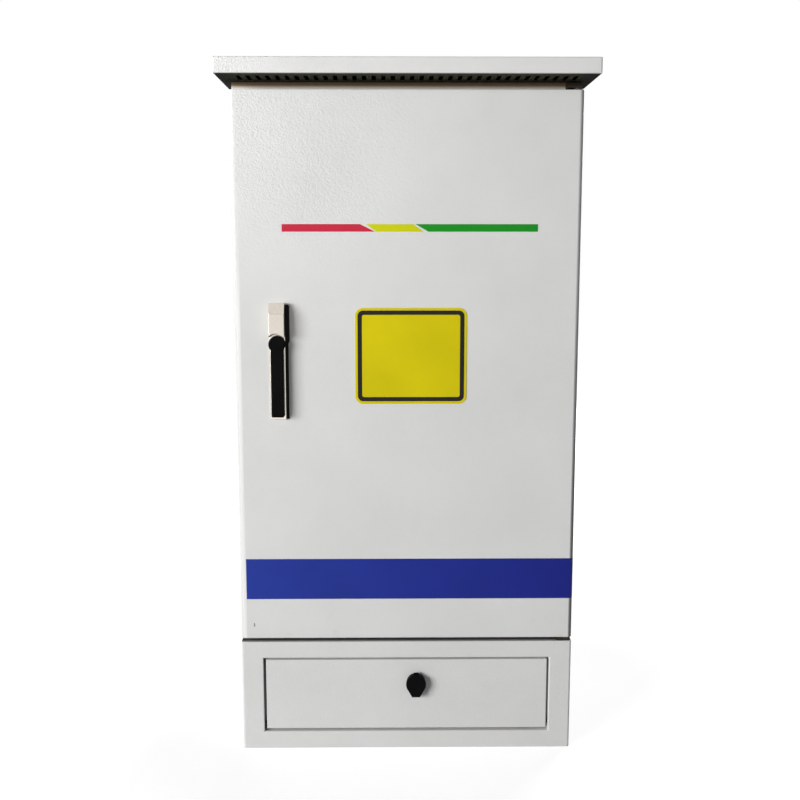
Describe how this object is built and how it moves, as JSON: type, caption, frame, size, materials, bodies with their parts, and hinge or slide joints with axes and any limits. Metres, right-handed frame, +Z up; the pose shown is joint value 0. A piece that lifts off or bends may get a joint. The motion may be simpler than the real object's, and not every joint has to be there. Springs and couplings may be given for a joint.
{
  "type": "traffic signal controller cabinet",
  "caption": "Free-standing steel roadside cabinet on a plinth with a slotted overhanging roof, a pivot-hung door with a swing handle, a drop-down cable flap and a signal controller in a rack.",
  "frame": {"origin": "middle of the anchor hole pattern in the plinth's underside", "axes": "+Z up, the door faces -Y, +X to the right seen from the front"},
  "size_m": [0.634, 0.527, 1.219],
  "materials": {
    "grey_paint": "fine-textured light grey powder coat",
    "zinc_steel": "zinc plated",
    "chassis_paint": "satin grey paint",
    "module_plastic": "satin",
    "black_rubber": "matt",
    "display_glass": "dark clear window",
    "green_plastic": "gloss",
    "amber_plastic": "gloss",
    "red_plastic": "gloss",
    "white_plastic": "satin",
    "black_plastic": "satin black",
    "terminal_plastic": "satin",
    "brass_bar": "bare",
    "pocket_plastic": "satin grey",
    "chrome_plate": "satin chrome plate",
    "blue_film": "satin vinyl film",
    "red_film": "satin vinyl film",
    "amber_film": "satin vinyl film",
    "green_film": "satin vinyl film"
  },
  "bodies": {
    "carcass": {"plinth_frame": "grey_paint", "cabinet_shell": "grey_paint", "top_panel": "grey_paint", "floor_panel": "grey_paint", "door_frame": "grey_paint", "roof_cap": "grey_paint", "cabinet_bolts": "zinc_steel", "top_pivot_bracket": "grey_paint", "bottom_pivot_bracket": "grey_paint", "pivot_pins": "zinc_steel", "flap_hinge_pins": "zinc_steel", "gland_plate": "zinc_steel", "cable_grommets": "black_rubber", "rack_post_left": "zinc_steel", "rack_post_right": "zinc_steel", "controller_chassis": "chassis_paint", "power_module": "module_plastic", "processor_module": "module_plastic", "driver_module_1": "module_plastic", "driver_module_2": "module_plastic", "driver_module_3": "module_plastic", "driver_module_4": "module_plastic", "operator_panel": "chassis_paint", "display_window": "display_glass", "mounting_plate": "zinc_steel", "din_rail": "zinc_steel", "main_breaker": "white_plastic", "lamp_breaker": "white_plastic", "surge_arrester": "red_plastic", "terminal_strip": "terminal_plastic", "earth_bar": "brass_bar", "fan_frame": "black_plastic"},
    "door": {"door_panel": "grey_paint", "door_gasket": "black_rubber", "document_pocket": "pocket_plastic", "lock_base": "chrome_plate", "lock_nut": "zinc_steel", "rod_guides": "white_plastic", "band_film": "blue_film", "red_stripe": "red_film", "amber_stripe": "amber_film", "green_stripe": "green_film"},
    "handle": {"lock_spindle": "zinc_steel", "lever_pin": "zinc_steel", "latch_cam": "zinc_steel"},
    "lever": {"lock_lever": "black_plastic"},
    "upper_latch": {"upper_rod": "zinc_steel"},
    "lower_latch": {"lower_rod": "zinc_steel"},
    "key_plug": {"key_cylinder": "brass_bar"},
    "keyhole_cover": {"key_cover": "chrome_plate"},
    "flap": {"flap_panel": "grey_paint", "flap_lock_body": "black_plastic"},
    "flap_cam": {"flap_lock_cam": "zinc_steel"},
    "flap_cap": {"flap_lock_cap": "black_plastic"},
    "main_switch": {"main_toggle": "black_plastic"},
    "lamp_switch": {"lamp_toggle": "black_plastic"},
    "auto_key": {"auto_button": "green_plastic"},
    "flash_key": {"flash_button": "amber_plastic"},
    "step_key": {"step_button": "red_plastic"},
    "fan": {"fan_rotor": "black_plastic"}
  },
  "joints": [
    {"name": "door_swing", "type": "hinge", "parent": "carcass", "child": "door", "pos_m": [0.29, -0.215, 0.7], "axis": [0, 0, 1], "range_deg": [0, 120]},
    {"name": "handle_turn", "type": "hinge", "parent": "door", "child": "handle", "pos_m": [-0.225, -0.225, 0.747], "axis": [0, -1, 0], "range_deg": [0, 90]},
    {"name": "lever_lift", "type": "hinge", "parent": "handle", "child": "lever", "pos_m": [-0.225, -0.237, 0.747], "axis": [-1, 0, 0], "range_deg": [0, 25]},
    {"name": "upper_rod_slide", "type": "slide", "parent": "door", "child": "upper_latch", "axis": [0, 0, 1], "range_m": [-0.02, 0]},
    {"name": "lower_rod_slide", "type": "slide", "parent": "door", "child": "lower_latch", "axis": [0, 0, 1], "range_m": [0, 0.02]},
    {"name": "key_turn", "type": "hinge", "parent": "door", "child": "key_plug", "pos_m": [-0.225, -0.24, 0.779], "axis": [0, -1, 0], "range_deg": [0, 90]},
    {"name": "key_cover_swing", "type": "hinge", "parent": "door", "child": "keyhole_cover", "pos_m": [-0.225, -0.247, 0.794], "axis": [0, -1, 0], "range_deg": [0, 100]},
    {"name": "flap_drop", "type": "hinge", "parent": "carcass", "child": "flap", "pos_m": [0, -0.217, 0.046], "axis": [1, 0, 0], "range_deg": [0, 90]},
    {"name": "flap_lock_turn", "type": "hinge", "parent": "flap", "child": "flap_cam", "pos_m": [0.017, -0.225, 0.1267], "axis": [0, -1, 0], "range_deg": [0, 90]},
    {"name": "flap_cap_swing", "type": "hinge", "parent": "flap", "child": "flap_cap", "pos_m": [0.017, -0.233, 0.1449], "axis": [-1, 0, 0], "range_deg": [0, 110]},
    {"name": "main_toggle_turn", "type": "hinge", "parent": "carcass", "child": "main_switch", "pos_m": [-0.15, -0.1355, 0.485], "axis": [1, 0, 0], "range_deg": [0, 60]},
    {"name": "lamp_toggle_turn", "type": "hinge", "parent": "carcass", "child": "lamp_switch", "pos_m": [-0.09, -0.1355, 0.485], "axis": [1, 0, 0], "range_deg": [0, 60]},
    {"name": "auto_press", "type": "slide", "parent": "carcass", "child": "auto_key", "axis": [0, 1, 0], "range_m": [0, 0.004], "stiffness_N_per_m": 500},
    {"name": "flash_press", "type": "slide", "parent": "carcass", "child": "flash_key", "axis": [0, 1, 0], "range_m": [0, 0.004], "stiffness_N_per_m": 500},
    {"name": "step_press", "type": "slide", "parent": "carcass", "child": "step_key", "axis": [0, 1, 0], "range_m": [0, 0.004], "stiffness_N_per_m": 500},
    {"name": "fan_spin", "type": "hinge", "parent": "carcass", "child": "fan", "pos_m": [0, 0.07, 1.178], "axis": [0, 0, 1], "continuous": true}
  ],
  "couplings": [
    {"joint": "upper_rod_slide", "follows": "handle_turn", "m_per_rad": -0.012604},
    {"joint": "lower_rod_slide", "follows": "handle_turn", "m_per_rad": 0.012604}
  ]
}
